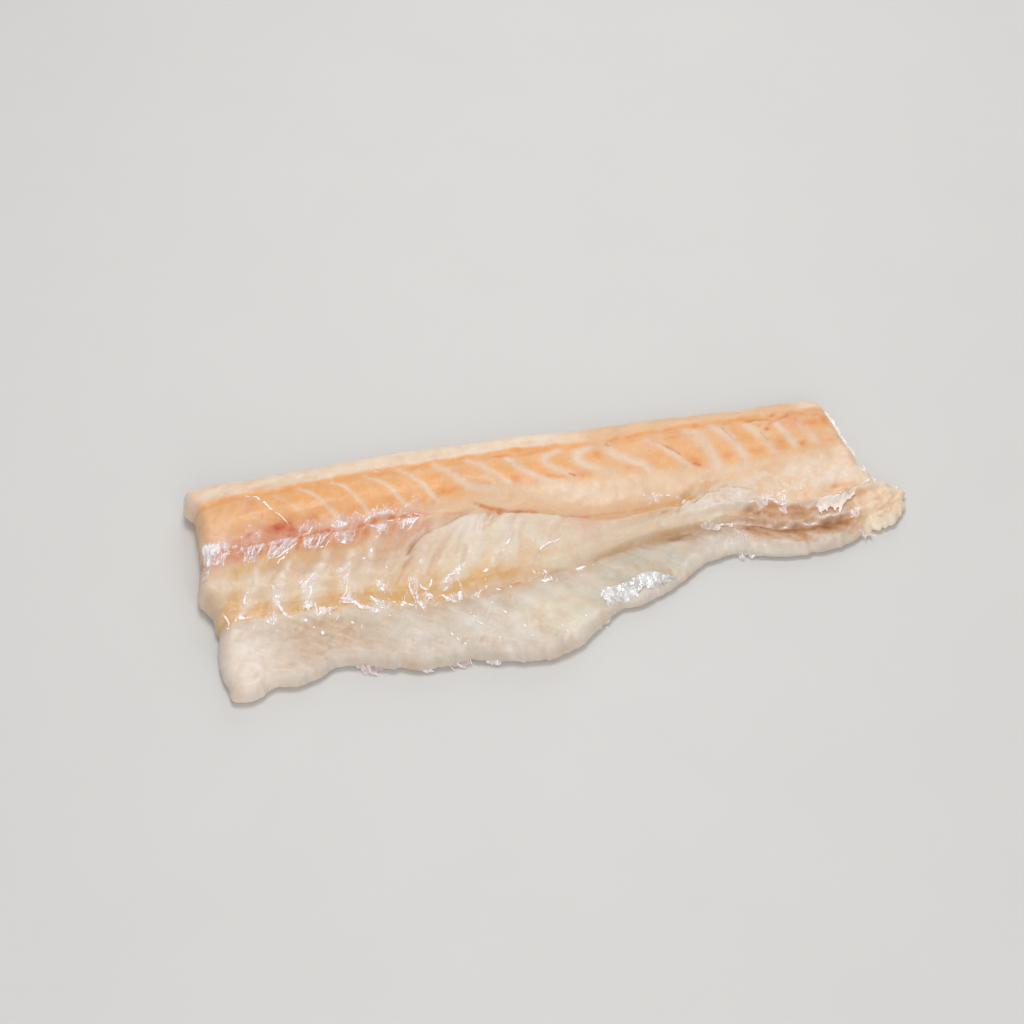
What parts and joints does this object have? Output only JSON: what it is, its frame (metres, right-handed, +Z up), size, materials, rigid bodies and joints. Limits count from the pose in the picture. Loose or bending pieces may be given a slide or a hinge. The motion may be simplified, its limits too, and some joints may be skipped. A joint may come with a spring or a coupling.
{
  "type": "raw hake fillet",
  "caption": "Raw skinned white-fish fillet lying flat, thick back loin on one side, thin wavy belly flap on the other, torn folds near the tail.",
  "frame": {"origin": "middle of the fillet's bounding box, on the flat face it rests on", "axes": "+X from the head cut to the tail cut, +Y from the belly flap to the back loin, +Z up, bone side up"},
  "size_m": [0.2758, 0.1102, 0.0186],
  "materials": {
    "raw_flesh": "moist, translucent"
  },
  "bodies": {
    "root": {"hake_fillet": "raw_flesh"}
  },
  "joints": []
}
